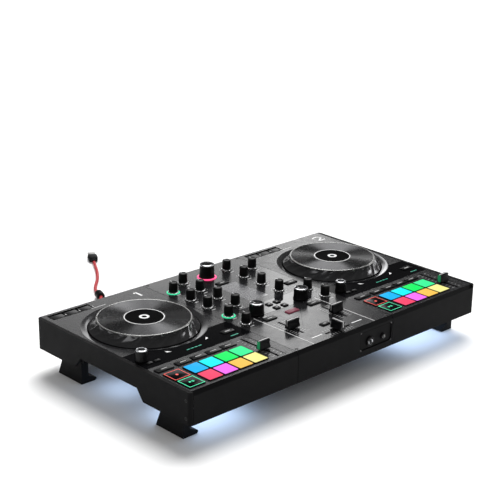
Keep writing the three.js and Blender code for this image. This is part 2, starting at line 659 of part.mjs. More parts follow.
// The route's points, from the device to the coil and from the coil to the computer plug.
const nearRoute = [
  [USB_X, 197.4, 44],
  [USB_X, 205, 43.6],
  [USB_X, 213, 41.5],
  [USB_X, 220, 37],
  [USB_X, 224.6, 30.5],
  [USB_X, 227, 23],
  [USB_X + 0.2, 230, 15.5],
  [USB_X + 1, 235, 9],
  [USB_X + 2.7, 241.5, 4.6],
  [USB_X + 5.8, 249, 2.7],
  [USB_X + 11, 257, CORD.tableZ],
  [USB_X + 19, 263.5, CORD.tableZ],
  [USB_X + 29, 267, CORD.tableZ],
  [USB_X + 39.5, 268.4, CORD.tableZ],
];
const alongFerrite = (distance, z) => [
  FERRITE.x + distance * Math.cos(FERRITE.heading),
  FERRITE.y + distance * Math.sin(FERRITE.heading),
  z,
];
const farRoute = [
  [-76.6, 270.2, 8],
  [-70.5, 277.8, 7.9],
  [-64.5, 285.5, 7],
  alongFerrite(-9, ferriteZ),
  alongFerrite(9, ferriteZ),
  [-47.6, 318, 4.4],
  [-43, 326.5, 2.8],
  [-36, 337.5, CORD.tableZ],
  [-25, 350, CORD.tableZ],
  [-12, 363, CORD.tableZ],
  [0, 379.5, CORD.tableZ],
  [10.5, 394, CORD.tableZ],
  [21.5, 412.5, CORD.tableZ],
  [33, 432, CORD.tableZ],
];

function cordTube(points, steps) {
  const corners = points.map(([x, y, z]) => new THREE.Vector3(x, y, z));
  const route = new THREE.CatmullRomCurve3(corners, false, 'centripetal');
  const section = new THREE.Shape();
  section.absarc(0, 0, CORD.diameter / 2, 0, Math.PI * 2);
  return new THREE.ExtrudeGeometry(section, {
    steps, extrudePath: route, curveSegments: 8, bevelEnabled: false,
  });
}
add('usb_cord_near', cordTube(nearRoute, 22), cordRed);
add('usb_cord_far', cordTube(farRoute, 30), cordRed);
add('usb_cord_coil', turned(COIL.x, COIL.y, [
  [COIL.inner, 0.1], [COIL.outer, 0.1], [COIL.outer, COIL.height], [COIL.inner, COIL.height],
  [COIL.inner, 0.1],
], 28), cordRed);

// Ferrite bead around the far stretch, and the flat computer plug on its end.
const ferrite = cut(
  rodAlongY(0, 0, FERRITE.radius, -FERRITE.halfLength, FERRITE.halfLength, 16),
  [rodAlongY(0, 0, CORD.diameter / 2 + 0.5, -FERRITE.halfLength - 1, FERRITE.halfLength + 1, 12)],
)
  .rotateZ(FERRITE.heading - Math.PI / 2)
  .translate(FERRITE.x, FERRITE.y, ferriteZ);
add('ferrite_bead', ferrite, plugBlack);

const plugHeading = Math.atan2(20, 11.5);
const computerPlug = join([
  box(0.4, 26, -7.6, 7.6, 0.1, 8.2),
  box(25, 39, -6, 6, 1.8, 6.3),
])
  .rotateZ(plugHeading)
  .translate(33, 432, 0);
add('usb_computer_plug', computerPlug, plugBlack);

export default controller;
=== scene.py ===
"""Two-deck DJ controller: looks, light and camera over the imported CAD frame.

Lengths in this file are millimetres in the row frame and turn into metres where a mesh is made.
"""
import math

import bpy
from mathutils import Matrix, Vector


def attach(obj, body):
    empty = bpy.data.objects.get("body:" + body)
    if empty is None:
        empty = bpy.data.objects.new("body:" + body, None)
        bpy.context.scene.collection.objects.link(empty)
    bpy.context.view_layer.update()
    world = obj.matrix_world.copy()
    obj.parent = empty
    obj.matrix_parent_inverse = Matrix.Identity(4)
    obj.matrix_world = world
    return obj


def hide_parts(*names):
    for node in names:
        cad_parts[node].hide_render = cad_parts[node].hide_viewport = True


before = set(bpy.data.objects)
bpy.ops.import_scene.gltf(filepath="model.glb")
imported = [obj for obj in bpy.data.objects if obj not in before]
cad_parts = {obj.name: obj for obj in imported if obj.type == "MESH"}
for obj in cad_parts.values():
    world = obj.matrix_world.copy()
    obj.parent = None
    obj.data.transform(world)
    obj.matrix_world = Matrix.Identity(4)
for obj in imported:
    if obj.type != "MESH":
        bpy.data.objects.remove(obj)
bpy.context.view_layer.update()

MM = 0.001
TOP = 73.0                # height of the control surface
BOTTOM = 30.5             # lower edge of the casing
HALF_WIDTH, HALF_DEPTH = 268.0, 153.0
SEAM = 90.0
SIDES = (("left", -1), ("right", 1))


# ---- Mesh code ------------------------------------------------------------------------------
class Shape:
    """Vertices and faces of one piece, gathered from simple closed forms."""

    def __init__(self):
        self.verts, self.faces = [], []

    def add(self, verts, faces, at=(0, 0, 0)):
        start = len(self.verts)
        self.verts += [tuple(c + d for c, d in zip(vert, at)) for vert in verts]
        self.faces += [tuple(start + i for i in face) for face in faces]
        return self

    def loft(self, rings, at=(0, 0, 0)):
        """Closed rings of equal length, bottom to top, counter-clockwise seen from above."""
        count = len(rings[0])
        verts = [vert for ring in rings for vert in ring]
        faces = [tuple(reversed(range(count)))]
        for level in range(len(rings) - 1):
            low, high = level * count, (level + 1) * count
            for i in range(count):
                j = (i + 1) % count
                faces.append((low + i, low + j, high + j, high + i))
        faces.append(tuple(range(len(verts) - count, len(verts))))
        return self.add(verts, faces, at)

    def block(self, x, y, width, depth, z0, z1, corner=0.6, edge=0.35, steps=3):
        """A box with rounded upright corners and a rounded top edge."""
        def ring(inset, z):
            return [(px + x, py + y, z) for px, py in
                    rounded_outline(width - 2 * inset, depth - 2 * inset, max(corner - inset, 0.05), steps)]
        rings = [ring(0, z0), ring(0, z1 - edge)]
        for i in range(1, 4):
            turn = math.pi / 6 * i
            rings.append(ring(edge * (1 - math.cos(turn)), z1 - edge * (1 - math.sin(turn))))
        return self.loft(rings)

    def slab(self, outline, z0, z1):
        return self.loft([[(x, y, z) for x, y in outline] for z in (z0, z1)])

    def bar(self, start, end, width, z0, z1):
        """A straight flat bar from start to end in plan."""
        (x0, y0), (x1, y1) = start, end
        length = math.hypot(x1 - x0, y1 - y0)
        nx, ny = (y1 - y0) / length * width / 2, -(x1 - x0) / length * width / 2
        outline = [(x0 - nx, y0 - ny), (x0 + nx, y0 + ny), (x1 + nx, y1 + ny), (x1 - nx, y1 - ny)]
        return self.slab(outline, z0, z1)

    def turned(self, profile, segments=48, at=(0, 0, 0), closed=False, radius_at=None):
        """A body of revolution from (radius, height) pairs, bottom to top on the outside."""
        verts, rings = [], []
        for radius, z in profile:
            if radius < 1e-6:
                rings.append([len(verts)] * segments)
                verts.append((0.0, 0.0, z))
                continue
            rings.append(list(range(len(verts), len(verts) + segments)))
            for i in range(segments):
                angle = 2 * math.pi * i / segments
                r = radius_at(radius, angle, z) if radius_at else radius
                verts.append((r * math.cos(angle), r * math.sin(angle), z))
        pairs = list(zip(rings, rings[1:])) + ([(rings[-1], rings[0])] if closed else [])
        faces = []
        for low, high in pairs:
            for i in range(segments):
                j = (i + 1) % segments
                face = []
                for index in (low[i], low[j], high[j], high[i]):
                    if index not in face:
                        face.append(index)
                if len(face) > 2:
                    faces.append(tuple(face))
        return self.add(verts, faces, at)


def rounded_outline(width, depth, radius, steps=3):
    points = []
    for quarter, (sx, sy) in enumerate(((1, -1), (1, 1), (-1, 1), (-1, -1))):
        cx, cy = sx * (width / 2 - radius), sy * (depth / 2 - radius)
        for i in range(steps + 1):
            angle = math.radians(-90 + 90 * quarter + 90 * i / steps)
            points.append((cx + radius * math.cos(angle), cy + radius * math.sin(angle)))
    return points


def piece(name, shape, look, body="casing", at=(0, 0, 0), smooth=35, stands_for=()):
    """Makes the shape an object at a place in the row frame, and fixes it to a CAD body."""
    mesh = bpy.data.meshes.new(name)
    mesh.from_pydata([tuple(c * MM for c in vert) for vert in shape.verts], [], shape.faces)
    mesh.polygons.foreach_set("use_smooth", [True] * len(mesh.polygons))
    mesh.set_sharp_from_angle(angle=math.radians(smooth))
    mesh.update()
    obj = bpy.data.objects.new(name, mesh)
    obj.location = [c * MM for c in at]
    bpy.context.collection.objects.link(obj)
    mesh.materials.append(MATERIALS[look])
    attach(obj, body)
    if stands_for:
        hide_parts(*stands_for)
    return obj


# ---- Materials ------------------------------------------------------------------------------
MATERIALS, SLOTS = {}, {}


def link(tree, source, output, target, socket):
    tree.links.new(source.outputs[output], target.inputs[socket])


def surface(name, slot, color, roughness, metallic=0.0, grain=900.0, bump=0.05, mottle=0.12,
            rough_spread=0.08, coat=0.0, coat_roughness=0.1, specular=0.5, glow=None, glow_strength=0.0):
    """A moulded or finished surface: fine grain in the bump, faint mottling in colour and gloss."""
    mat = bpy.data.materials.new(name)
    mat.use_nodes = True
    tree = mat.node_tree
    shader = tree.nodes["Principled BSDF"]
    shader.inputs["Metallic"].default_value = metallic
    shader.inputs["Specular IOR Level"].default_value = specular
    shader.inputs["Coat Weight"].default_value = coat
    shader.inputs["Coat Roughness"].default_value = coat_roughness
    place = tree.nodes.new("ShaderNodeTexCoord")
    fine = tree.nodes.new("ShaderNodeTexNoise")
    fine.inputs["Scale"].default_value = grain
    fine.inputs["Detail"].default_value = 4
    broad = tree.nodes.new("ShaderNodeTexNoise")
    broad.inputs["Scale"].default_value = grain / 18
    broad.inputs["Detail"].default_value = 3
    link(tree, place, "Object", fine, "Vector")
    link(tree, place, "Object", broad, "Vector")
    relief = tree.nodes.new("ShaderNodeBump")
    relief.inputs["Strength"].default_value = bump
    relief.inputs["Distance"].default_value = 0.00008
    link(tree, fine, "Fac", relief, "Height")
    link(tree, relief, "Normal", shader, "Normal")
    tint = tree.nodes.new("ShaderNodeMix")
    tint.data_type = "RGBA"
    tint.inputs[6].default_value = (*[c * (1 - mottle) for c in color], 1)
    tint.inputs[7].default_value = (*[min(c * (1 + mottle), 1) for c in color], 1)
    link(tree, fine, "Fac", tint, "Factor")
    tree.links.new(tint.outputs[2], shader.inputs["Base Color"])
    gloss = tree.nodes.new("ShaderNodeMapRange")
    gloss.inputs["To Min"].default_value = max(roughness - rough_spread, 0.02)
    gloss.inputs["To Max"].default_value = min(roughness + rough_spread, 1.0)
    link(tree, broad, "Fac", gloss, "Value")
    link(tree, gloss, "Result", shader, "Roughness")
    if glow:
        shade = tree.nodes.new("ShaderNodeMix")
        shade.data_type = "RGBA"
        shade.inputs[6].default_value = (*[c * 0.88 for c in glow], 1)
        shade.inputs[7].default_value = (*[min(c * 1.1, 1.0) for c in glow], 1)
        link(tree, broad, "Fac", shade, "Factor")
        tree.links.new(shade.outputs[2], shader.inputs["Emission Color"])
        shader.inputs["Emission Strength"].default_value = glow_strength
    MATERIALS[name], SLOTS[name] = mat, slot
    return mat


surface("casing", "casing", (0.0035, 0.0035, 0.0038), 0.5, grain=1400, bump=0.3, specular=0.06)
surface("cover", "top_plate", (0.014, 0.014, 0.0152), 0.27, grain=1600, bump=0.15, mottle=0.2)
surface("mixer", "top_plate", (0.010, 0.010, 0.011), 0.23, grain=1600, bump=0.1, mottle=0.2, coat=0.18,
        coat_roughness=0.06)
# Gloss black; on the front jack frame it paints the shade of a groove.
surface("gloss", "gloss_black", (0.003, 0.003, 0.0035), 0.10, grain=60, bump=0.01, rough_spread=0.03,
        specular=0.02)
surface("gloss_strip", "gloss_black", (0.006, 0.006, 0.007), 0.10, grain=60, bump=0.01, rough_spread=0.03,
        coat=0.4, coat_roughness=0.04)
surface("inset", "top_plate", (0.08, 0.08, 0.086), 0.25, grain=1600, bump=0.05, mottle=0.2, coat=0.7,
        coat_roughness=0.05)
surface("key", "gloss_black", (0.005, 0.005, 0.0055), 0.3, grain=300, bump=0.05, rough_spread=0.08,
        specular=0.1)
surface("knob", "knob_rubber", (0.004, 0.004, 0.0043), 0.38, grain=1200, bump=0.2, mottle=0.25, specular=0.2)
surface("fader", "fader_black", (0.004, 0.004, 0.005), 0.33, grain=1200, bump=0.15, specular=0.25)
surface("silver", "silver", (0.62, 0.63, 0.65), 0.25, metallic=0.9, grain=600, bump=0.03, mottle=0.05)
surface("pale_ring", "silver", (0.85, 0.85, 0.86), 0.25, metallic=0.8, grain=500, bump=0.03, mottle=0.05)
surface("wheel_side", "wheel_grey", (0.10, 0.10, 0.103), 0.22, metallic=0.85, grain=700, bump=0.04)
surface("trough", "wheel_grey", (0.08, 0.08, 0.083), 0.16, metallic=0.85, grain=700, bump=0.03)
surface("wheel_top", "wheel_grey", (0.055, 0.055, 0.0565), 0.27, metallic=0.9, grain=700, bump=0.03,
        mottle=0.05)
surface("rubber", "foot_rubber", (0.004, 0.004, 0.0042), 0.7, specular=0.15, grain=900, bump=0.4, mottle=0.3)
surface("board", "circuit_board", (0.006, 0.05, 0.025), 0.45, grain=200, bump=0.15, mottle=0.35)
surface("nickel", "silver", (0.42, 0.42, 0.41), 0.28, metallic=0.95, grain=500, bump=0.05)
surface("plug", "plug_black", (0.006, 0.006, 0.0065), 0.5, grain=1100, bump=0.3, mottle=0.2, specular=0.12)
surface("cord", "cord_red", (0.40, 0.022, 0.028), 0.45, grain=700, bump=0.12, mottle=0.15)
# White print and white parts; on the fader caps the same white paints edge highlights.
surface("white_and_painted_highlight", "silver", (0.75, 0.75, 0.75), 0.5, grain=900, bump=0.02, mottle=0.05)
surface("print_grey", "silver", (0.45, 0.45, 0.45), 0.5, grain=900, bump=0.02, mottle=0.08)
# Dark screw heads; on the tempo groove and the underside vents the same dark paints shade in openings.
surface("dark_and_painted_shade", "gloss_black", (0.006, 0.006, 0.006), 0.45, grain=900, bump=0.02, specular=0.2)
surface("label", "gloss_black", (0.002, 0.002, 0.002), 0.5, grain=900, bump=0.02, specular=0.004)
surface("green_led", "pad_silicone", (0.02, 0.30, 0.16), 0.4, grain=500, bump=0.02,
        glow=(0.03, 0.75, 0.35), glow_strength=1.0)
# Painted green light for the end face of the tempo fader caps.
surface("painted_green_glow", "pad_silicone", (0.01, 0.10, 0.05), 0.4, grain=500, bump=0.02,
        glow=(0.01, 0.20, 0.08), glow_strength=0.6)
surface("red_led", "pad_silicone", (0.3, 0.03, 0.03), 0.4, grain=500, bump=0.02,
        glow=(0.85, 0.08, 0.05), glow_strength=0.9)
surface("dim_red_led", "gloss_black", (0.06, 0.012, 0.02), 0.35, grain=500, bump=0.02,
        glow=(0.22, 0.04, 0.07), glow_strength=0.5)
surface("pink_led", "pad_silicone", (0.5, 0.06, 0.15), 0.4, grain=500, bump=0.02,
        glow=(1.0, 0.07, 0.22), glow_strength=1.6)
surface("teal_led", "pad_silicone", (0.02, 0.12, 0.09), 0.4, grain=500, bump=0.02,
        glow=(0.02, 0.35, 0.22), glow_strength=0.8)

PAD_COLOURS = {
    "blue": (0.0, 0.45, 0.95),
    "cyan": (0.0, 0.92, 0.98),
    "green": (0.0, 0.88, 0.13),
    "mint": (0.04, 0.92, 0.32),
    "rose": (0.97, 0.06, 0.15),
    "violet": (0.93, 0.16, 0.97),
    "orange": (0.98, 0.55, 0.09),
    "yellow": (0.97, 0.88, 0.30),
}
for colour, rgb in PAD_COLOURS.items():
    surface("pad_" + colour, "pad_silicone", tuple(c * 0.15 for c in rgb), 0.5, grain=450, bump=0.1,
            specular=0.1, glow=rgb, glow_strength=0.9)

# ---- Camera ---------------------------------------------------------------------------------
CAMERA = {"azimuth": -43.801, "elevation": 19.386, "roll": 0.888, "distance": 1950.156,
          "target": (127.072, 163.212, TOP), "focal_px": 1285.137}


def aim_camera():
    a, e, roll = (math.radians(CAMERA[key]) for key in ("azimuth", "elevation", "roll"))
    back = Vector((math.sin(a) * math.cos(e), -math.cos(a) * math.cos(e), math.sin(e)))
    level = Vector((math.cos(a), math.sin(a), 0))
    upward = back.cross(level)
    right = math.cos(roll) * level + math.sin(roll) * upward
    up = math.cos(roll) * upward - math.sin(roll) * level
    data = bpy.data.cameras.new("camera")
    data.sensor_width = 36
    data.lens = CAMERA["focal_px"] / 500 * data.sensor_width
    data.clip_end = 60
    camera = bpy.data.objects.new("camera", data)
    turn = Matrix((right, up, back)).transposed().to_4x4()
    place = (Vector(CAMERA["target"]) + back * CAMERA["distance"]) * MM
    camera.matrix_world = Matrix.Translation(place) @ turn
    bpy.context.collection.objects.link(camera)
    bpy.context.scene.camera = camera


aim_camera()

# ---- USB lead -------------------------------------------------------------------------------
CORD = {"diameter": 5.0, "table": 2.6, "length": 1.49}
COIL = {"x": -60.0, "y": 233.0, "outer": 35.0, "inner": 20.0, "turns": 3}
FERRITE = {"x": -55.0, "y": 300.5, "z": 6.3, "radius": 6.2, "half_length": 8.0, "heading": 1.19}
PLUG_AT, PLUG_HEADING = (33.0, 432.0), math.atan2(20, 11.5)
USB_X, USB_Z = -120.0, 44.0


def along_ferrite(distance):
    return (FERRITE["x"] + distance * math.cos(FERRITE["heading"]),
            FERRITE["y"] + distance * math.sin(FERRITE["heading"]), FERRITE["z"])


near_route = [
    (USB_X, 197.4, 44), (USB_X, 205, 43.6), (USB_X, 213, 41.5), (USB_X, 220, 37), (USB_X, 224.6, 30.5),
    (USB_X, 227, 23), (USB_X + 0.2, 230, 15.5), (USB_X + 1, 235, 9), (USB_X + 2.7, 241.5, 4.6),
    (USB_X + 5.8, 249, 2.7), (USB_X + 11, 257, 2.6), (USB_X + 19, 263.5, 2.6), (USB_X + 29, 267, 2.6),
    (USB_X + 39.5, 268.4, 2.6), (USB_X + 50, 268.4, 2.6),
]
far_route = [
    (-76.6, 270.2, 8), (-70.5, 277.8, 7.9), (-64.5, 285.5, 7), along_ferrite(-9), along_ferrite(9),
    (-47.6, 318, 4.4), (-43, 326.5, 2.8), (-36, 337.5, 2.6), (-25, 350, 2.6), (-12, 363, 2.6),
    (0, 379.5, 2.6), (10.5, 394, 2.6), (21.5, 412.5, 2.6), (33, 432, 2.6),
]


def coil_points(per_turn=24):
    """Clockwise from the back: a flat layer inwards, a climb at the middle, a flat layer outwards."""
    climb = 305 / 360
    total = 2 * COIL["turns"] + climb
    step = (COIL["outer"] - COIL["inner"]) / COIL["turns"]
    points = []
    count = round(total * per_turn)
    for i in range(count + 1):
        turn = total * i / count
        if turn <= COIL["turns"]:
            radius, z = COIL["outer"] - step * turn, CORD["table"]
        elif turn <= COIL["turns"] + climb:
            risen = turn - COIL["turns"]
            radius, z = COIL["inner"], CORD["table"] + CORD["diameter"] * math.sqrt(2 * risen - risen ** 2)
        else:
            radius = COIL["inner"] + step * (turn - COIL["turns"] - climb)
            z = CORD["table"] + CORD["diameter"]
        angle = math.radians(90) - 2 * math.pi * turn
        points.append((COIL["x"] + radius * math.cos(angle), COIL["y"] + radius * math.sin(angle), z))
    return points


def make_cord():
    points = near_route + coil_points() + far_route
    curve = bpy.data.curves.new("usb_cord", "CURVE")
    curve.dimensions = "3D"
    curve.bevel_depth = CORD["diameter"] / 2 * MM
    curve.bevel_resolution = 4
    curve.use_fill_caps = True
    spline = curve.splines.new("NURBS")
    spline.points.add(len(points) - 1)
    for slot, point in zip(spline.points, points):
        slot.co = (*[c * MM for c in point], 1)
    spline.order_u = 3
    spline.use_endpoint_u = True
    spline.resolution_u = 4
    curve.materials.append(MATERIALS["cord"])
    cord = bpy.data.objects.new("usb_cord", curve)
    bpy.context.collection.objects.link(cord)
    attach(cord, "casing")
    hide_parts("usb_cord_near", "usb_cord_far", "usb_cord_coil")
    return cord


def make_plugs():
    bead = Shape().turned([(2.9, -8), (5.2, -8), (6.2, -6.8), (6.2, 6.8), (5.2, 8), (2.9, 8)], 32,
                          closed=True)
    bead.turned([(6.15, -0.5), (6.45, -0.4), (6.45, 0.4), (6.15, 0.5)], 32, closed=True)
    turn = Matrix.Rotation(FERRITE["heading"], 3, "Z") @ Matrix.Rotation(math.radians(90), 3, "Y")
    bead.verts = [tuple(turn @ Vector(vert)) for vert in bead.verts]
    ferrite = piece("ferrite_bead_shell", bead, "plug", at=(FERRITE["x"], FERRITE["y"], FERRITE["z"]),
                    stands_for=("ferrite_bead",))

    far = Shape()
    rings = []
    for x, half_y, half_z in ((0.4, 3.0, 2.4), (6, 3.6, 2.6), (7, 6.6, 3.6), (9, 7.4, 4.0), (24, 7.4, 4.0),
                              (26, 6.8, 3.6)):
        outline = rounded_outline(2 * half_y, 2 * half_z, min(half_z * 0.7, 2.2))
        rings.append([(x, -u, v + 4.15) for u, v in outline])
    far.loft(rings)
    for y in (-7.5, 7.5):
        for x in (12, 15, 18, 21):
            far.block(x, y, 1.2, 0.5, 1.6, 6.6, corner=0.2, edge=0.1)
    at = (*PLUG_AT, 0)
    turned = Matrix.Rotation(PLUG_HEADING, 3, "Z")

    def turn_all(shape):
        shape.verts = [tuple(turned @ Vector(vert)) for vert in shape.verts]
        return shape
    grip = piece("computer_plug_grip", turn_all(far), "plug", at=at, stands_for=("usb_computer_plug",))
    shell = Shape()
    shell.loft([[(x, -u, v + 4.05) for u, v in rounded_outline(12, 4.5, 0.4)] for x in (25, 38.8)])
    metal = piece("computer_plug_shell", turn_all(shell), "nickel", at=at)

    near = Shape()
    rings = []
    for y, half_x, half_z in ((-0.5, 4.2, 3.9), (1, 4.2, 3.9), (1.2, 5.8, 5.0), (2.4, 6.2, 5.4),
                              (19, 6.2, 5.4), (21.8, 5.4, 4.8)):
        outline = rounded_outline(2 * half_x, 2 * half_z, 1.4)
        rings.append([(-u, y, v) for u, v in outline])
    near.loft(rings)
    profile = [(2.6, 21), (5.0, 21.2)]
    for i in range(7):
        y = 22.5 + 3 * i
        radius = 5.0 - 0.27 * i
        profile += [(radius, y), (radius, y + 1.7), (radius - 0.8, y + 1.9), (radius - 0.8, y + 2.8)]
    profile += [(3.1, 44), (2.55, 44.2)]
    relief = Shape().turned(profile, 28, closed=True)
    relief.verts = [(x, z, -y) for x, y, z in relief.verts]
    near.add(relief.verts, relief.faces)
    device = piece("device_plug_grip", near, "plug", at=(USB_X, HALF_DEPTH, USB_Z),
                   stands_for=("usb_device_plug",))
    return [ferrite, grip, metal, device]


cord = make_cord()
make_plugs()

# ---- CAD nodes that stay, with finish and softened edges ------------------------------------
NODE_LOOKS = {
    "bottom_pan": "casing", "side_frame_left": "casing", "side_frame_right": "casing",
    "side_cheek_left": "casing", "side_cheek_right": "casing",
    "deck_cover_left": "cover", "deck_cover_right": "cover", "mixer_cover": "mixer",
    "main_board": "board",
    "leg_front_left": "rubber", "leg_front_right": "rubber", "leg_back_left": "rubber",
    "leg_back_right": "rubber", "headphone_jacks": "casing", "rear_sockets": "plug",
}
BEVELS = {"side_cheek": 0.7, "deck_cover": 0.35, "mixer_cover": 0.35, "leg": 0.8, "bottom_pan": 0.3,
          "side_frame": 0.3, "headphone_jacks": 0.2}

for node, look in NODE_LOOKS.items():
    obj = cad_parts[node]
    obj.data.materials.clear()
    obj.data.materials.append(MATERIALS[look])
    width = next((w for start, w in BEVELS.items() if node.startswith(start)), 0)
    if width:
        flat = obj.modifiers.new("flat_faces", "DECIMATE")
        flat.decimate_type = "DISSOLVE"
        flat.angle_limit = math.radians(1)
        bevel = obj.modifiers.new("soft_edges", "BEVEL")
        bevel.width = width * MM
        bevel.segments = 2
        bevel.limit_method = "ANGLE"
        bevel.angle_limit = math.radians(32)
        bevel.harden_normals = False

# ---- Deck layout ----------------------------------------------------------------------------
DECK_X, JOG_Y = 178.0, 41.0
KEY_TOP = TOP + 1.4
KEY_FOOT = TOP - 5
LABEL_SPAN = (KEY_TOP - 0.1, KEY_TOP + 0.04)   # lower and upper face of the print on a key
TICK_TOP = TOP + 0.07
TROUGH_RADIUS = 83.2
BAND_TOP_Y = -20.6
PAD_PITCH = (24.6, 25.8)
PAD_SIZE = (21.7, 22.9)
PAD_CENTRE = (-1.9, -117.8)
PAD_NAMES = (("blue", "cyan", "green", "mint"), ("rose", "violet", "orange", "yellow"))
PLAY_X, PLAY_SIZE = -68.8, (25.2, 24.4)
PLAY_KEYS = (("cue", -104.9, "red_led"), ("play", -130.7, "green_led"))
MODE_Y = -81.0
SMALL_KEYS = ((-71.5, -57, 8.6, 4.8), (-59.5, -57, 8.6, 4.8), (65.6, -47, 19, 9))
pad_columns = [PAD_CENTRE[0] + (i - 1.5) * PAD_PITCH[0] for i in range(4)]
pad_rows = [PAD_CENTRE[1] + PAD_PITCH[1] / 2, PAD_CENTRE[1] - PAD_PITCH[1] / 2]


def line_frame(shape, x, y, width, depth, thickness, z0, z1):
    """Four flat bars round a rectangle."""
    inner_depth = depth - 2 * thickness
    for sign in (-1, 1):
        shape.block(x, y + sign * (depth - thickness) / 2, width, thickness, z0, z1, 0.1, 0.02, 1)
        shape.block(x + sign * (width - thickness) / 2, y, thickness, inner_depth, z0, z1, 0.1, 0.02, 1)
    return shape


def windowed_slab(x0, x1, low, top_at, keys, z0, z1, gap=0.25):
    """A flat slab from a straight lower edge to a shaped upper one, open round each key in it."""
    windows = [(x - w / 2 - gap, x + w / 2 + gap, y - d / 2 - gap, y + d / 2 + gap) for x, y, w, d in keys]
    edges = sorted({x0, x1, *[edge for window in windows for edge in window[:2]]})
    shape = Shape()
    for left, right in zip(edges, edges[1:]):
        bottom = low
        for _, _, y0, y1 in sorted(w for w in windows if w[0] <= left and right <= w[1]):
            shape.slab([(left, bottom), (right, bottom), (right, y0), (left, y0)], z0, z1)
            bottom = y1
        steps = max(1, round((right - left) / 3))
        across = [right - (right - left) * i / steps for i in range(steps + 1)]
        shape.slab([(left, bottom), (right, bottom)] + [(x, top_at(x)) for x in across], z0, z1)
    return shape


def make_jog(side, deck_x):
    body = f"jog_wheel_{side}"
    at = (deck_x, JOG_Y, TOP)
    vanes, depth = 22, 3.0

    def vane_radius(radius, angle, z):
        if not 63.5 < radius < 72:
            return radius
        height = (radius - 62) / 10
        phase = (angle * vanes / (2 * math.pi) + height * 0.8) % 1
        saw = phase / 0.86 if phase < 0.86 else (1 - phase) / 0.14
        return radius - depth * saw * math.sin(math.pi * height)

    side_rings = [(62.6 + 9.8 * i / 9, 11.0 - 12.3 * i / 9) for i in range(10)]
    profile = [(0, 7.2), (50, 7.2), (69, -6.6), (72.4, -6.6), (72.4, -1.5)] + side_rings[::-1] + [(0, 11.0)]
    wheel = Shape().turned(profile, 264, radius_at=vane_radius)
    piece(f"wheel_body_{side}", wheel, "wheel_side", body, at, smooth=30, stands_for=(body,))
    face, pitch, groove_depth = 11.7, 1.3, 0.29
    grooves = [(60.2, face)]
    while grooves[-1][0] > 28:
        radius = grooves[-1][0]
        grooves += [(radius - pitch / 2, face - groove_depth), (radius - pitch, face)]
    disc = Shape().turned([(0, 11.0), (60.6, 11.0), (60.6, 11.55)] + grooves + [(0, face)], 128)
    piece(f"wheel_disc_{side}", disc, "wheel_top", body, at, smooth=15)
    rim = Shape().turned([(60.7, 10.9), (62.7, 10.9), (62.5, 11.3), (61.9, 11.7), (61.1, 11.78),
                          (60.7, 11.6)], 128, closed=True)
    piece(f"wheel_rim_{side}", rim, "nickel", body, at)
    label = Shape().turned([(0, 11.6), (25.4, 11.6), (25.4, 11.85), (0, 11.85)], 96)
    piece(f"wheel_label_{side}", label, "label", body, at)
    rings = Shape()
    rings.turned([(25.4, 11.6), (26.5, 11.6), (26.5, 11.9), (25.4, 11.9)], 96, closed=True)
    rings.turned([(3.6, 11.8), (6.8, 11.8), (6.8, 11.95), (3.6, 11.95)], 48, closed=True)
    piece(f"wheel_rings_{side}", rings, "white_and_painted_highlight", body, at)


def make_deck_surface(side, deck_x, x0, x1):
    trough = Shape().turned([(74.5, -2.7), (82.0, -0.1), (82.8, -0.05), (82.8, 0.22), (82.0, 0.25),
                             (74.5, -2.1)], 128, closed=True)
    piece(f"jog_trough_{side}", trough, "trough", at=(deck_x, JOG_Y, TOP))

    def circle_edge(x):
        dx = x - deck_x
        return JOG_Y - math.sqrt(TROUGH_RADIUS ** 2 - dx * dx) if abs(dx) < TROUGH_RADIUS else JOG_Y

    def band_top(x):
        return min(BAND_TOP_Y, circle_edge(x)) if abs(x - deck_x) < 56 else BAND_TOP_Y

    keys = [(deck_x + x, y, width, depth) for x, y, width, depth in SMALL_KEYS]
    band = windowed_slab(x0, x1, -68.5, band_top, keys, TOP, TOP + 0.12)
    piece(f"gloss_band_{side}", band, "gloss")

    marks = Shape()
    for x, inward in ((-34.5, 1), (33.5, -1)):
        corners = [(deck_x + x, -46), (deck_x + x + 6 * inward, -47.6), (deck_x + x, -41)]
        marks.slab(corners[::inward], TOP + 0.12, TOP + 0.25)
    marks.block(deck_x - 5.5, 131.4, 24, 0.8, TOP, TOP + 0.08, 0.2, 0.02, 1)
    for x in (-55, -33, -11):
        marks.block(deck_x + x, 137, 0.9, 4, TOP, TOP + 0.1, 0.2, 0.02, 1)
    piece(f"deck_marks_{side}", marks, "white_and_painted_highlight")

    leds = Shape()
    for i in range(4):
        leds.block(deck_x - 9 + i * 6.4, -56.3, 5.2, 1.5, TOP + 0.12, TOP + 0.3, 0.3, 0.05, 1)
    leds.block(deck_x + 65.5, -60.5, 13, 1.4, TOP + 0.12, TOP + 0.3, 0.3, 0.05, 1)
    piece(f"deck_leds_{side}", leds, "teal_led")

    # A flat dark strip stands in for the shaded inside of the long groove beside the tempo fader: painted
    # shade.
    groove = Shape()
    groove.block(deck_x + 73.2, -111, 1.6, 68, TOP, TOP + 0.06, 0.4, 0.02, 1)
    piece(f"tempo_groove_shade_{side}", groove, "dark_and_painted_shade")
    ticks = Shape()
    for i in range(11):
        y = -141 + 6.2 * i
        ticks.block(deck_x + 55.5, y, 4.2 if i % 5 else 6, 0.5, TOP, TICK_TOP, 0.1, 0.02, 1)
        ticks.block(deck_x + 68.5, y, 3 if i % 5 else 4.4, 0.5, TOP, TICK_TOP, 0.1, 0.02, 1)
    for column in pad_columns:
        ticks.block(deck_x + column, -74.6, 12, 0.9, TOP, TICK_TOP, 0.2, 0.02, 1)
    piece(f"deck_ticks_{side}", ticks, "print_grey")


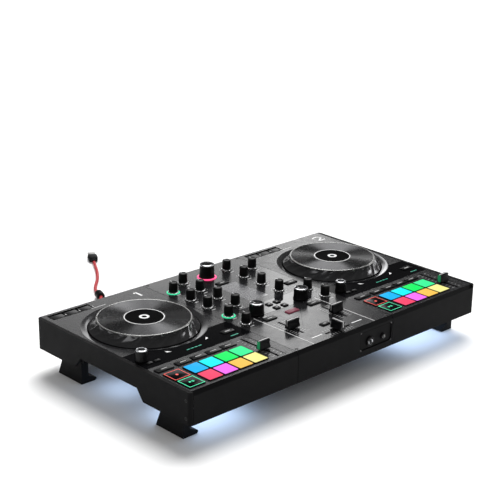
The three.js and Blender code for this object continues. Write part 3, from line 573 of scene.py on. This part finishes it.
def make_deck_number(side, s):
    z0, z1 = TOP, TOP + 0.1
    number = Shape()
    if s < 0:
        number.bar((-114.5, 124), (-114.5, 140), 3.2, z0, z1)
        number.bar((-119, 136.5), (-114.5, 140), 2.4, z0, z1)
    else:
        path = [(236, 135.5), (239, 139), (247, 139), (250.5, 135.5), (250.5, 132.5), (237, 124),
                (251.5, 124)]
        for start, end in zip(path, path[1:]):
            number.bar(start, end, 2.4, z0, z1)
    piece(f"deck_number_{side}", number, "white_and_painted_highlight")


def make_deck_controls(side, deck_x):
    mat = Shape().block(deck_x + PAD_CENTRE[0], PAD_CENTRE[1], 97, 50.2, TOP - 3.5, TOP - 1.2, 1.5)
    for y, names in zip(pad_rows, PAD_NAMES):
        for x, name in zip(pad_columns, names):
            width, depth = PAD_SIZE
            pad = Shape().block(deck_x + x, y, width, depth, KEY_TOP - 0.9, KEY_TOP + 0.12, 1.5, 0.3,
                                steps=5)
            piece(f"pad_{name}_{side}", pad, "pad_" + name, f"pad_mat_{side}")
            mat.block(deck_x + x, y, width + 1.6, depth + 1.6, TOP - 2, KEY_TOP - 0.1, 2.0, 0.5, steps=5)
    piece(f"pad_base_{side}", mat, "rubber", f"pad_mat_{side}", stands_for=(f"pad_mat_{side}",))
    for name, y, light in PLAY_KEYS:
        body = f"{name}_key_{side}"
        width, depth = PLAY_SIZE
        key = Shape().block(deck_x + PLAY_X, y, width, depth, KEY_FOOT, KEY_TOP, corner=1.2, edge=0.5,
                            steps=4)
        piece(f"{name}_cap_{side}", key, "gloss", body, stands_for=(body,))
        outline = line_frame(Shape(), deck_x + PLAY_X, y, width - 1.6, depth - 1.6, 0.9, KEY_TOP - 0.1,
                             KEY_TOP + 0.06)
        if name == "cue":
            outline.turned([(0, -0.1), (1.9, -0.1), (1.9, 0.08), (0, 0.08)], 20,
                           at=(deck_x + PLAY_X, y, KEY_TOP))
        else:
            x = deck_x + PLAY_X
            outline.slab([(x - 3.4, y - 2), (x + 0.2, y), (x - 3.4, y + 2)], KEY_TOP - 0.1, KEY_TOP + 0.08)
            for dx in (1.6, 3.4):
                outline.block(x + dx, y, 0.9, 4, KEY_TOP - 0.1, KEY_TOP + 0.08, 0.1, 0.02, 1)
        piece(f"{name}_light_{side}", outline, light, body)
    keys = Shape().block(deck_x + PLAY_X, MODE_Y, 25.2, 9.6, KEY_FOOT, KEY_TOP, 0.8)
    labels = Shape().block(deck_x + PLAY_X, MODE_Y, 9, 1.2, *LABEL_SPAN, 0.2, 0.02, 1)
    for x in pad_columns:
        keys.block(deck_x + x, MODE_Y, 22.6, 9.6, KEY_FOOT, KEY_TOP, 0.8)
        labels.block(deck_x + x, MODE_Y, 10, 1.2, *LABEL_SPAN, 0.2, 0.02, 1)
    for x, y, width, depth in SMALL_KEYS:
        keys.block(deck_x + x, y, width, depth, KEY_FOOT, KEY_TOP, 0.8)
    labels.block(deck_x + 65.6, -47, 9, 1.6, *LABEL_SPAN, 0.2, 0.02, 1)
    piece(f"deck_key_caps_{side}", keys, "key", f"deck_keys_{side}", stands_for=(f"deck_keys_{side}",))
    piece(f"deck_key_labels_{side}", labels, "print_grey", f"deck_keys_{side}")
    strip = Shape().block(deck_x - 45, 139.7, 65.2, 15.8, TOP - 6, TOP - 2.6, 0.8)
    for i in (-1, 0, 1):
        strip.block(deck_x - 45 + 22 * i, 138.7, 19.6, 11.5, TOP - 3.2, TOP - 0.4, 1.2)
    piece(f"top_keys_{side}", strip, "key", f"top_key_strip_{side}", stands_for=(f"top_key_strip_{side}",))


# ---- Knobs ----------------------------------------------------------------------------------
def fluted(radius, flutes, depth):
    def radius_at(r, angle, z):
        if not radius - 0.8 < r < radius + 0.8:
            return r
        return r - depth * (0.5 + 0.5 * math.cos(flutes * angle)) ** 3
    return radius_at


def make_small_knob(name, x, y):
    at = (x, y, TOP)
    cap = Shape().turned([(0, 0.8), (5.8, 0.8), (6.3, 2.0), (6.35, 3), (6.2, 8), (6.05, 14.2), (5.7, 15.0),
                          (5.1, 15.4), (4.6, 15.45), (4.2, 15.15), (0, 15.15)], 120,
                         radius_at=fluted(6.2, 20, 0.32))
    piece(f"{name}_cap", cap, "knob", name, at, smooth=50, stands_for=(name,))
    skirt = Shape().turned([(5.9, 0.5), (7.7, 0.5), (7.8, 0.9), (7.6, 1.3), (6.4, 1.8), (5.9, 1.9)], 48,
                           closed=True)
    piece(f"{name}_skirt", skirt, "pale_ring", name, at)
    pointer = Shape().block(0, 4.4, 0.9, 3.6, 14.9, 15.55, 0.2, 0.1, 1)
    pointer.block(0, 6.15, 0.9, 0.5, 3.2, 14.8, 0.1, 0.1, 1)
    piece(f"{name}_pointer", pointer, "white_and_painted_highlight", name, at)


def make_large_knob(name, x, y):
    at = (x, y, TOP)
    cap = Shape().turned([(0, 0.6), (10.4, 0.6), (10.7, 1.4), (10.2, 2.2), (10.0, 3), (9.85, 8), (9.7, 14.6),
                          (8.0, 15.2), (8.0, 14.6), (0, 14.2)], 144, radius_at=fluted(9.85, 30, 0.35))
    piece(f"{name}_cap", cap, "knob", name, at, smooth=50, stands_for=(name,))
    rim = Shape().turned([(7.9, 14.5), (9.6, 14.5), (9.75, 15.6), (9.5, 16.1), (8.3, 16.6), (7.9, 16.2)],
                         64, closed=True)
    piece(f"{name}_rim", rim, "silver", name, at)
    pointer = Shape().block(0, 5.2, 1.1, 4.4, 14.1, 14.75, 0.2, 0.1, 1)
    piece(f"{name}_pointer", pointer, "white_and_painted_highlight", name, at)


def make_browse_knob():
    at = (BROWSE[0], BROWSE[1], TOP)
    cap = Shape().turned([(0, 0.6), (11.2, 0.6), (11.5, 1.4), (10.9, 3), (10.6, 8), (10.4, 18.6),
                          (9.0, 19.4),
                          (8.6, 18.8), (6, 18.0), (0, 17.6)], 144, radius_at=fluted(10.6, 32, 0.35))
    piece("browse_cap", cap, "knob", "browse_knob", at, smooth=50, stands_for=("browse_knob",))
    rim = Shape().turned([(8.4, 18.4), (10.3, 18.4), (10.4, 19.8), (10.1, 20.3), (8.7, 20.9), (8.2, 20.5),
                          (7.9, 19.4)], 72, closed=True)
    piece("browse_rim", rim, "silver", "browse_knob", at)
    glow = Shape().turned([(11.8, 0), (13.9, 0), (13.9, 0.7), (13.2, 1.3), (12.2, 1.3), (11.8, 0.9)], 72,
                          closed=True)
    piece("browse_light", glow, "pink_led", at=at)


def make_loop_knob(side, deck_x):
    name = f"loop_knob_{side}"
    at = (deck_x - 73.4, -44, TOP)
    cap = Shape().turned([(0, 0.6), (7.7, 0.6), (7.8, 1.4), (7.4, 2.4), (7.3, 8), (7.2, 13.2), (6.4, 13.8),
                          (0, 13.6)], 128, radius_at=fluted(7.3, 24, 0.3))
    piece(f"{name}_cap", cap, "knob", name, at, smooth=50, stands_for=(name,))
    rim = Shape().turned([(4.6, 13.4), (6.9, 13.2), (7.15, 13.9), (6.9, 14.7), (5.4, 15.35), (4.9, 15.3),
                          (4.6, 14.6)], 64, closed=True)
    piece(f"{name}_rim", rim, "silver", name, at)


# ---- Mixer ----------------------------------------------------------------------------------
OUTER_X, INNER_X = 75.0, 41.7
OUTER_ROWS = (104.5, 68, 33, -8.5, -42)
INNER_ROWS = (123, 86.5, 50, 14.5)
LEVEL = (42.0, -27.5)
BROWSE = (0.0, 119.0)
small_knobs = [(f"knob_left_outer_{i + 1}", -OUTER_X, y) for i, y in enumerate(OUTER_ROWS)]
small_knobs += [(f"knob_{side}_inner_{i + 1}", s * INNER_X, y)
                for side, s in SIDES for i, y in enumerate(INNER_ROWS)]
small_knobs += [(f"knob_right_outer_{i + 1}", OUTER_X, OUTER_ROWS[row]) for i, row in enumerate((0, 3, 4))]
MIXER_KEYS = (
    [(x, y, 8.6, 8.6) for y in (-15.6, -30.5) for x in (-7.4, 7.4)]
    + [(x, -52.4, 20, 9) for x in (-41.5, 41.5)]
    + [(0, 86.4, 20, 9), (75, 25, 20, 9), (0, -112.5, 14, 8)]
)
CHANNEL = {"x": 41.5, "slot_y": -91, "rest_y": -94}
CROSS_Y = -135.5


def fader_cap(name, x, y, length, across_x, face=None):
    """A cap with waisted grip faces and fine ribs; its long side lies across the slot."""
    body = name
    base, waist, ridge = 4.5, 2.6, 3.2
    section = [(base, 1.5), (base, 3.2), (waist + 1.2, 5.6), (waist, 8.4), (ridge, 11.9),
               (ridge - 0.5, 12.6), (ridge - 1.2, 12.9)]
    full = section + [(-u, z) for u, z in reversed(section)]
    cap = Shape()
    ends = ((-length / 2, 0.9), (-length / 2 + 0.5, 1), (length / 2 - 0.5, 1), (length / 2, 0.9))
    rings = [[(along, u * scale, 1.5 + (z - 1.5) * (1 if scale == 1 else 0.97)) for u, z in full]
             for along, scale in ends]
    cap.loft(rings)
    cap.block(0, 0, 1.8, 2.8, -6, 2, 0.2, 0.1, 1)
    for i in range(4):
        z = 6.2 + 1.35 * i
        for sign in (-1, 1):
            cap.block(0, sign * (waist + 0.25), length - 1.5, 0.5, z, z + 0.6, 0.1, 0.1, 1)
    line = Shape().block(0, 0, length - 0.2, 1.0, 12.6, 13.05, 0.1, 0.1, 1)
    # The upright bars at both ends of the cap are painted edge highlights; the bar along the top is the
    # cap's printed line.
    for sign in (-1, 1):
        line.block(sign * (length / 2 - 0.1), 0, 0.5, 0.9, 5, 12.9, 0.1, 0.05, 1)
    shapes = [(cap, "fader", "_body"), (line, "white_and_painted_highlight", "_line")]
    # The glowing plate on the cap's end face is painted green light.
    if face:
        glow = Shape().block(-length / 2 - 0.05, 0, 0.5, 5.0, 2.2, 12.0, 0.2, 0.1, 1)
        shapes.append((glow, face, "_light"))
    for shape, look, suffix in shapes:
        if not across_x:
            shape.verts = [(-v, u, z) for u, v, z in shape.verts]
        piece(name + suffix, shape, look, body, at=(x, y, TOP),
              stands_for=(name,) if suffix == "_body" else ())


def make_mixer():
    for name, x, y in small_knobs:
        make_small_knob(name, x, y)
    make_large_knob("level_knob_left", -LEVEL[0], LEVEL[1])
    make_large_knob("level_knob_right", LEVEL[0], LEVEL[1])
    make_browse_knob()
    for i, y in enumerate((OUTER_ROWS[0], OUTER_ROWS[3])):
        ring = Shape().turned([(7.9, 0), (9.3, 0), (9.3, 0.5), (8.8, 0.9), (8.2, 0.9), (7.9, 0.6)], 60,
                              closed=True)
        piece(f"filter_light_{i + 1}", ring, "green_led", at=(-OUTER_X, y, TOP))
    keys, labels = Shape(), Shape()
    for x, y, width, depth in MIXER_KEYS:
        keys.block(x, y, width, depth, KEY_FOOT, KEY_TOP, 0.9)
        labels.block(x, y, width * 0.4, 1.2, *LABEL_SPAN, 0.2, 0.02, 1)
    piece("mixer_key_caps", keys, "key", "mixer_keys", stands_for=("mixer_keys",))
    piece("mixer_key_labels", labels, "print_grey", "mixer_keys")
    lit = Shape().block(0, -52.4, 20, 9, KEY_FOOT, KEY_TOP, 0.9)
    piece("assistant_key", lit, "dim_red_led", "mixer_keys")

    gloss = windowed_slab(-56, 56, -36, lambda x: -3, MIXER_KEYS[:4], TOP, TOP + 0.1)
    piece("effects_panel", gloss, "gloss_strip")
    inset = Shape().slab(rounded_outline(34, 68, 1.5), TOP, TOP + 0.08)
    inset.verts = [(x + 1, y + 45, z) for x, y, z in inset.verts]
    piece("browse_panel", inset, "inset")

    lines = Shape()
    lines.bar((-57.2, -148), (-57.2, -38), 0.7, TOP, TOP + 0.08)
    lines.bar((57.8, -148), (57.8, -38), 0.7, TOP, TOP + 0.08)
    for x in (-36.5, 38.5):
        lines.block(x, -133.5, 19, 1.6, TOP, TOP + 0.08, 0.3, 0.02, 1)
    piece("mixer_lines", lines, "white_and_painted_highlight")

    ticks = Shape()
    for sign in (-1, 1):
        for i in range(11):
            y = CHANNEL["slot_y"] - 21 + 4.2 * i
            width = 5 if i % 5 else 7
            for dx in (-8, 8):
                ticks.block(sign * CHANNEL["x"] + dx, y, width, 0.45, TOP, TICK_TOP, 0.1, 0.02, 1)
    for i in range(9):
        depth = 4 if i % 4 else 6
        for dy in (-7.5, 7.5):
            ticks.block(-20 + 5 * i, CROSS_Y + dy, 0.45, depth, TOP, TICK_TOP, 0.1, 0.02, 1)
    for name, x, y in small_knobs + [("", -LEVEL[0], LEVEL[1]), ("", LEVEL[0], LEVEL[1])]:
        reach = 9.6 if name else 13
        for i in range(11):
            angle = math.radians(-60 + 30 * i)
            start = (x + reach * math.cos(angle), y + reach * math.sin(angle))
            end = (x + (reach + 1.3) * math.cos(angle), y + (reach + 1.3) * math.sin(angle))
            ticks.bar(start, end, 0.45, TOP, TICK_TOP)
        ticks.block(x, y - reach - 2.5, 7, 1.3, TOP, TICK_TOP, 0.2, 0.02, 1)
    piece("mixer_ticks", ticks, "print_grey")


for side, s in SIDES:
    deck_x = s * DECK_X
    edges = (-262.3, -SEAM - 0.7) if s < 0 else (SEAM + 0.7, 262.3)
    make_jog(side, deck_x)
    make_deck_surface(side, deck_x, *edges)
    make_deck_number(side, s)
    make_deck_controls(side, deck_x)
    make_loop_knob(side, deck_x)
    fader_cap(f"tempo_fader_{side}", deck_x + 62, -117, 17, True, face="painted_green_glow")
make_mixer()
fader_cap("channel_fader_left", -CHANNEL["x"], CHANNEL["rest_y"], 20, True)
fader_cap("channel_fader_right", CHANNEL["x"], CHANNEL["rest_y"], 20, True)
fader_cap("crossfader", 0, CROSS_Y, 19, False)


# ---- Sockets, screws and soles ---------------------------------------------------------------
JACK_Z = 48.5
REAR_SOCKETS = ((-62, 6.2, "nickel"), (-36, 6.2, "nickel"), (-8, 4.4, "white_and_painted_highlight"), (8, 4.4, "cord"),
                (32, 4.4, "white_and_painted_highlight"), (48, 4.4, "cord"), (70, 6.2, "nickel"))


def upright_to_y(shape, toward):
    """Turns a shape made about Z so that its axis runs along Y, its top toward +Y or -Y."""
    shape.verts = [(x, z * toward, -y * toward) for x, y, z in shape.verts]
    return shape


def make_sockets():
    for i, (x, hole, collar, look) in enumerate(((45.5, 3.3, 7.0, "silver"), (71.5, 2.0, 4.5, "nickel"))):
        nut = Shape().turned([(hole, -1.5), (hole + 1.2, -0.2), (collar - 0.6, -0.2), (collar, 0.4),
                              (collar - 0.2, 1.2),
                              (collar - 1.4, 1.6), (hole + 0.5, 1.0), (hole, 0.4)], 40, closed=True)
        piece(f"front_socket_nut_{i + 1}", upright_to_y(nut, -1), "plug", at=(x, -HALF_DEPTH + 0.4, JACK_Z))
        lining = Shape().turned([(hole - 0.5, -9), (hole + 0.05, -9), (hole + 0.9, 0.9), (hole + 0.4, 1.5),
                                 (hole - 0.4, 1.0)], 36, closed=True)
        piece(f"front_socket_lining_{i + 1}", upright_to_y(lining, -1), look,
              at=(x, -HALF_DEPTH + 0.4, JACK_Z))
    # A thin dark line stands in for the shaded groove round the front jacks: painted shade.
    groove_shade_line = Shape()
    outer = rounded_outline(62, 26, 5, 5)
    inner = rounded_outline(61, 25, 4.6, 5)
    count = len(outer)
    verts = [(x, 0, z) for x, z in outer] + [(x, 0, z) for x, z in inner]
    verts += [(x, -0.2, z) for x, _, z in verts]
    faces = []
    for i in range(count):
        j = (i + 1) % count
        faces += [(i, j, count + j, count + i), (2 * count + i, 3 * count + i, 3 * count + j, 2 * count + j),
                  (i, 2 * count + i, 2 * count + j, j), (count + i, count + j, 3 * count + j, 3 * count + i)]
    groove_shade_line.add(verts, faces)
    piece("front_socket_groove_shade", groove_shade_line, "gloss", at=(57, -HALF_DEPTH, TOP - 21))
    for i, (x, radius, look) in enumerate(REAR_SOCKETS):
        ring = Shape().turned([(radius * 0.64, -3), (radius - 0.3, -3), (radius - 0.1, 0.4),
                               (radius * 0.9, 1.0), (radius * 0.66, 1.0)], 32, closed=True)
        piece(f"rear_socket_ring_{i + 1}", upright_to_y(ring, 1), look, at=(x, HALF_DEPTH, 48))


def apron_skin(name, spans):
    """A thin matte skin over the front apron and its bevelled upper edge, in boxes of x and z spans."""
    front, bevel, skin = -HALF_DEPTH, 4.5, 0.15
    shape = Shape()
    for x0, x1, z0, z1 in spans:
        outline = [(front, z0), (front - skin, z0)]
        if z1 > TOP - bevel:
            outline += [(front - skin, TOP - bevel), (front + bevel - skin, TOP), (front + bevel, TOP),
                        (front, TOP - bevel)]
        else:
            outline += [(front - skin, z1), (front, z1)]
        count = len(outline)
        verts = [(x, y, z) for x in (x0, x1) for y, z in outline]
        faces = [tuple(range(count)), tuple(range(2 * count - 1, count - 1, -1))]
        faces += [(i, count + i, count + (i + 1) % count, (i + 1) % count) for i in range(count)]
        shape.add(verts, faces)
    piece(name, shape, "casing", smooth=20)


def make_aprons():
    edge, gap, full = 262.6, 0.4, (BOTTOM, TOP)
    apron_skin("apron_left", [(-edge, -SEAM - gap, *full)])
    apron_skin("apron_right", [(SEAM + gap, edge, *full)])
    window = {"x": (26, 88), "z": (39, 65)}
    (x0, x1), (z0, z1) = window["x"], window["z"]
    apron_skin("apron_middle", [(-SEAM + gap, x0, *full), (x1, SEAM - gap, *full), (x0, x1, BOTTOM, z0),
                                (x0, x1, z1, TOP)])


def make_screw(name, at, axis, radius=2.4):
    """A countersunk screw head with a round recess, its face toward the axis direction."""
    head = Shape().turned([(0, -0.6), (radius, -0.6), (radius, 0.05), (radius * 0.8, 0.22),
                           (radius * 0.5, 0.22), (radius * 0.38, -0.2), (0, -0.3)], 20)
    turn = Vector((0, 0, 1)).rotation_difference(Vector(axis)).to_matrix()
    head.verts = [tuple(turn @ Vector(vert)) for vert in head.verts]
    piece(name, head, "dark_and_painted_shade", at=at)


def make_screws():
    count = 0
    spots = [((x, y, TOP), (0, 0, 1)) for x in (-85, 86) for y in (-144.5, 148)]
    side_spots = ((-145.8, 61.5), (-145.7, 38.3), (147, 33.4), (147, 61.5))
    for s in (-1, 1):
        spots += [((s * HALF_WIDTH, y, z), (s, 0, 0)) for y, z in side_spots]
    spots += [((x, y, 36.5), (0, 0, -1)) for x in (-190, -90, 0, 90, 190) for y in (-138, 138)]
    for place, axis in spots:
        count += 1
        make_screw(f"screw_{count}", place, axis)


def make_underside():
    # Flat dark plates stand in for the shaded vent openings in the bottom pan: painted shade.
    vents = Shape()
    for s in (-1, 1):
        for i in range(14):
            vents.block(s * 120 - 39 + 6 * i, 0, 2.6, 44, 36.1, 36.6, 1.2, 0.05, 2)
    piece("underside_vent_shade", vents, "dark_and_painted_shade")
    for end, y in (("front", -100.5), ("back", 100.5)):
        for side, s in SIDES:
            sole = Shape()
            for i in range(5):
                sole.block(s * (236.4 + 3.9 * i), y, 1.6, 48, 0.0, 0.6, 0.3, 0.1, 1)
            piece(f"sole_ribs_{end}_{side}", sole, "rubber", f"leg_{end}_{side}")


make_sockets()
make_aprons()
make_screws()
make_underside()


# ---- Floor and light ------------------------------------------------------------------------
def make_floor():
    size = 9.0
    mesh = bpy.data.meshes.new("floor")
    mesh.from_pydata([(-size, -size, 0), (size, -size, 0), (size, size, 0), (-size, size, 0)], [],
                     [(0, 1, 2, 3)])
    floor = bpy.data.objects.new("floor", mesh)
    bpy.context.collection.objects.link(floor)
    mat = bpy.data.materials.new("floor")
    mat.use_nodes = True
    shader = mat.node_tree.nodes["Principled BSDF"]
    shader.inputs["Base Color"].default_value = (0.93, 0.93, 0.93, 1)
    shader.inputs["Roughness"].default_value = 0.9
    shader.inputs["Specular IOR Level"].default_value = 0.1
    mesh.materials.append(mat)
    floor.location.z = -0.0002


def area_light(name, place, target, size, power, color=(1, 1, 1)):
    data = bpy.data.lights.new(name, "AREA")
    data.shape = "RECTANGLE"
    data.size, data.size_y = size
    data.energy = power
    data.color = color
    light = bpy.data.objects.new(name, data)
    light.location = place
    light.rotation_euler = (Vector(target) - Vector(place)).to_track_quat("-Z", "Y").to_euler()
    bpy.context.collection.objects.link(light)
    return light


def heading_vector(heading, elevation):
    h, e = math.radians(heading), math.radians(elevation)
    return Vector((math.cos(h) * math.cos(e), math.sin(h) * math.cos(e), math.sin(e)))


def make_world():
    """White surroundings, which glossy surfaces see as one soft bright patch in a dark studio."""
    world = bpy.data.worlds.new("studio")
    bpy.context.scene.world = world
    world.use_nodes = True
    tree = world.node_tree
    background = tree.nodes["Background"]
    background.inputs["Color"].default_value = (1, 1, 1, 1)
    direction = tree.nodes.new("ShaderNodeTexCoord")
    patch = tree.nodes.new("ShaderNodeVectorMath")
    patch.operation = "DOT_PRODUCT"
    patch.inputs[1].default_value = heading_vector(52, 12.5)
    link(tree, direction, "Generated", patch, 0)
    fade = tree.nodes.new("ShaderNodeMapRange")
    fade.inputs["From Min"].default_value = math.cos(math.radians(10.6))
    fade.inputs["From Max"].default_value = math.cos(math.radians(6.8))
    fade.inputs["To Min"].default_value = 0.08
    fade.inputs["To Max"].default_value = 2.2
    link(tree, patch, "Value", fade, "Value")
    path = tree.nodes.new("ShaderNodeLightPath")
    level = tree.nodes.new("ShaderNodeMix")
    link(tree, path, "Is Glossy Ray", level, "Factor")
    kind = tree.nodes.new("ShaderNodeMix")
    kind.inputs["A"].default_value = 0.35
    kind.inputs["B"].default_value = 1.0
    link(tree, path, "Is Camera Ray", kind, "Factor")
    link(tree, kind, "Result", level, "A")
    link(tree, fade, "Result", level, "B")
    link(tree, level, "Result", background, "Strength")


def make_light():
    make_world()
    card_place = 3.4 * heading_vector(43, 0) + Vector((0, 0, 1.32))
    area_light("back_card", card_place, (0, 0, 0.3), (0.30, 1.3), 3.5)
    sun_data = bpy.data.lights.new("key", "SUN")
    sun_data.energy = 4.2
    sun_data.angle = math.radians(42)
    sun = bpy.data.objects.new("key", sun_data)
    sun.rotation_euler = (-heading_vector(38, 54)).to_track_quat("-Z", "Y").to_euler()
    sun.visible_glossy = False
    bpy.context.collection.objects.link(sun)
    area_light("fill", 2.4 * heading_vector(205, 30), (0, 0, 0.05), (1.2, 0.9), 5)
    for name, heading, elevation, size, power in (("overhead_card", 46, 62, (1.3, 0.8), 17),
                                                  ("side_card", 352, 20, (0.5, 0.5), 5)):
        card = area_light(name, 2.0 * heading_vector(heading, elevation), (0, 0, 0), size, power)
        card.visible_diffuse = False
    for x, y, size, power in ((-0.2, -0.09, (0.09, 0.09), 0.05), (-0.22, 0.03, (0.05, 0.05), 0.012),
                              (0.19, -0.04, (0.11, 0.21), 0.13)):
        area_light("underglow", (x, y, 0.0295), (x, y, 0), size, power, (0.55, 0.72, 1.0))
    bpy.context.scene.view_settings.view_transform = "Standard"


make_floor()
make_light()
